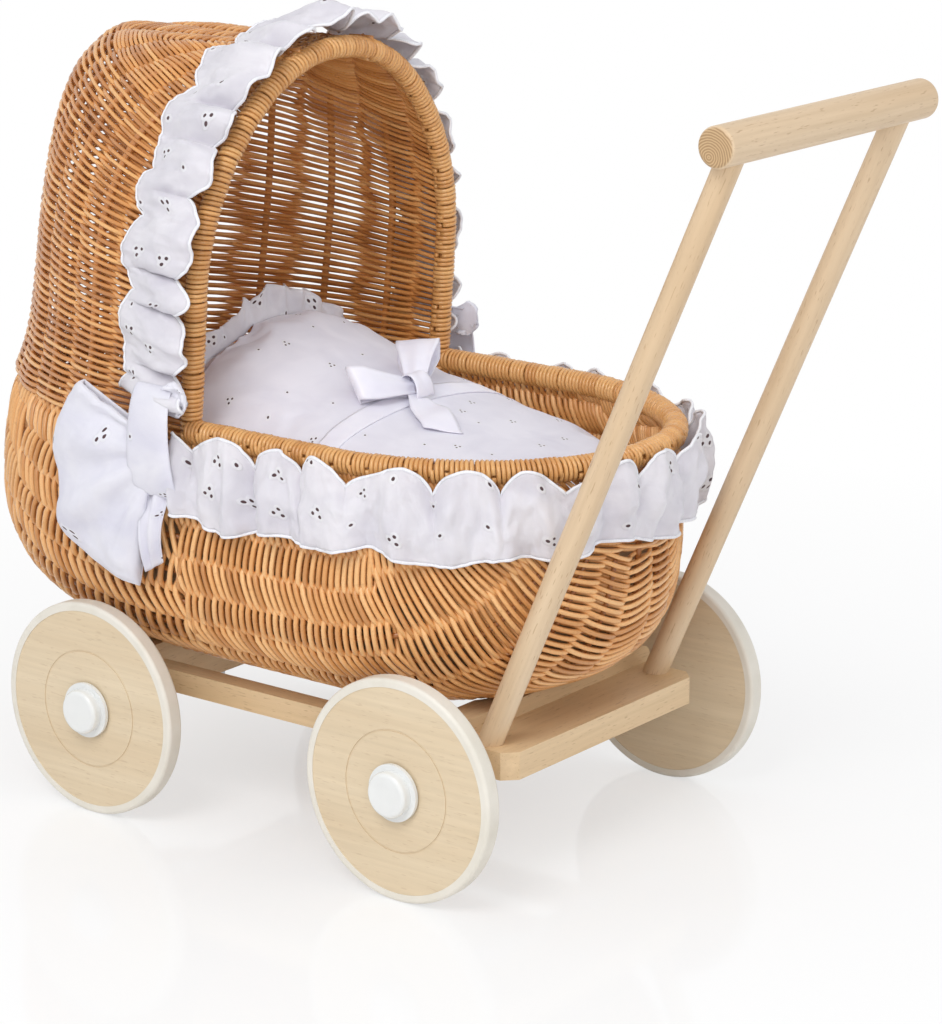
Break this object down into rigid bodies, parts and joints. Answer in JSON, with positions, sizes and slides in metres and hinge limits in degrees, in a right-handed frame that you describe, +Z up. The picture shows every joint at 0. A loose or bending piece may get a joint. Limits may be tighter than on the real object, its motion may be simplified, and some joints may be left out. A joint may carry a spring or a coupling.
{
  "type": "doll stroller",
  "caption": "Wicker doll pram with a hooded basket on a beech frame, wooden wheels, push bar, padded bedding and white eyelet frills with bows.",
  "frame": {"origin": "on the floor, midway between the two axles and on the plane that splits the pram left from right", "axes": "+X towards the push bar, +Y towards the right wheels as seen when pushing, +Z up"},
  "size_m": [0.6892, 0.3392, 0.5417],
  "materials": {
    "beech": "clear-coated pale beech, turned and sawn",
    "wicker": "varnished woven willow",
    "tyre_white": "soft white foam tyre",
    "nylon": "natural nylon",
    "cap_white": "glossy white plastic",
    "steel": "zinc-plated steel",
    "cotton": "white eyelet cotton",
    "satin": "pale satin ribbon"
  },
  "bodies": {
    "pram": {"axle_handle_end": "steel", "axle_hood_end": "steel", "axle_spacers": "nylon", "axle_straps": "steel", "basket_body": "wicker", "basket_rim": "wicker", "basket_screws": "steel", "body_frill": "cotton", "bow_left": "cotton", "bow_right": "cotton", "duvet": "cotton", "duvet_bow": "satin", "duvet_ribbon": "satin", "frame_dowels": "beech", "handle_bar": "beech", "handle_board": "beech", "handle_end_bearer": "beech", "handle_post_left": "beech", "handle_post_right": "beech", "hood_arch": "wicker", "hood_end_bearer": "beech", "hood_frill": "cotton", "hood_shell": "wicker", "hub_cap_handle_left": "cap_white", "hub_cap_handle_right": "cap_white", "hub_cap_hood_left": "cap_white", "hub_cap_hood_right": "cap_white", "mattress": "cotton", "pillow": "cotton", "side_rail_left": "beech", "side_rail_right": "beech", "strap_screws": "steel"},
    "wheel_handle_left": {"wheel_disc_handle_left": "beech", "wheel_tyre_handle_left": "tyre_white", "wheel_bush_handle_left": "nylon"},
    "wheel_handle_right": {"wheel_disc_handle_right": "beech", "wheel_tyre_handle_right": "tyre_white", "wheel_bush_handle_right": "nylon"},
    "wheel_hood_left": {"wheel_disc_hood_left": "beech", "wheel_tyre_hood_left": "tyre_white", "wheel_bush_hood_left": "nylon"},
    "wheel_hood_right": {"wheel_disc_hood_right": "beech", "wheel_tyre_hood_right": "tyre_white", "wheel_bush_hood_right": "nylon"}
  },
  "joints": [
    {"name": "wheel_handle_left_spin", "type": "hinge", "parent": "pram", "child": "wheel_handle_left", "pos_m": [0.13625, -0.1523, 0.076], "axis": [0, 1, 0], "continuous": true},
    {"name": "wheel_handle_right_spin", "type": "hinge", "parent": "pram", "child": "wheel_handle_right", "pos_m": [0.13625, 0.1523, 0.076], "axis": [0, 1, 0], "continuous": true},
    {"name": "wheel_hood_left_spin", "type": "hinge", "parent": "pram", "child": "wheel_hood_left", "pos_m": [-0.13625, -0.1523, 0.076], "axis": [0, 1, 0], "continuous": true},
    {"name": "wheel_hood_right_spin", "type": "hinge", "parent": "pram", "child": "wheel_hood_right", "pos_m": [-0.13625, 0.1523, 0.076], "axis": [0, 1, 0], "continuous": true}
  ]
}
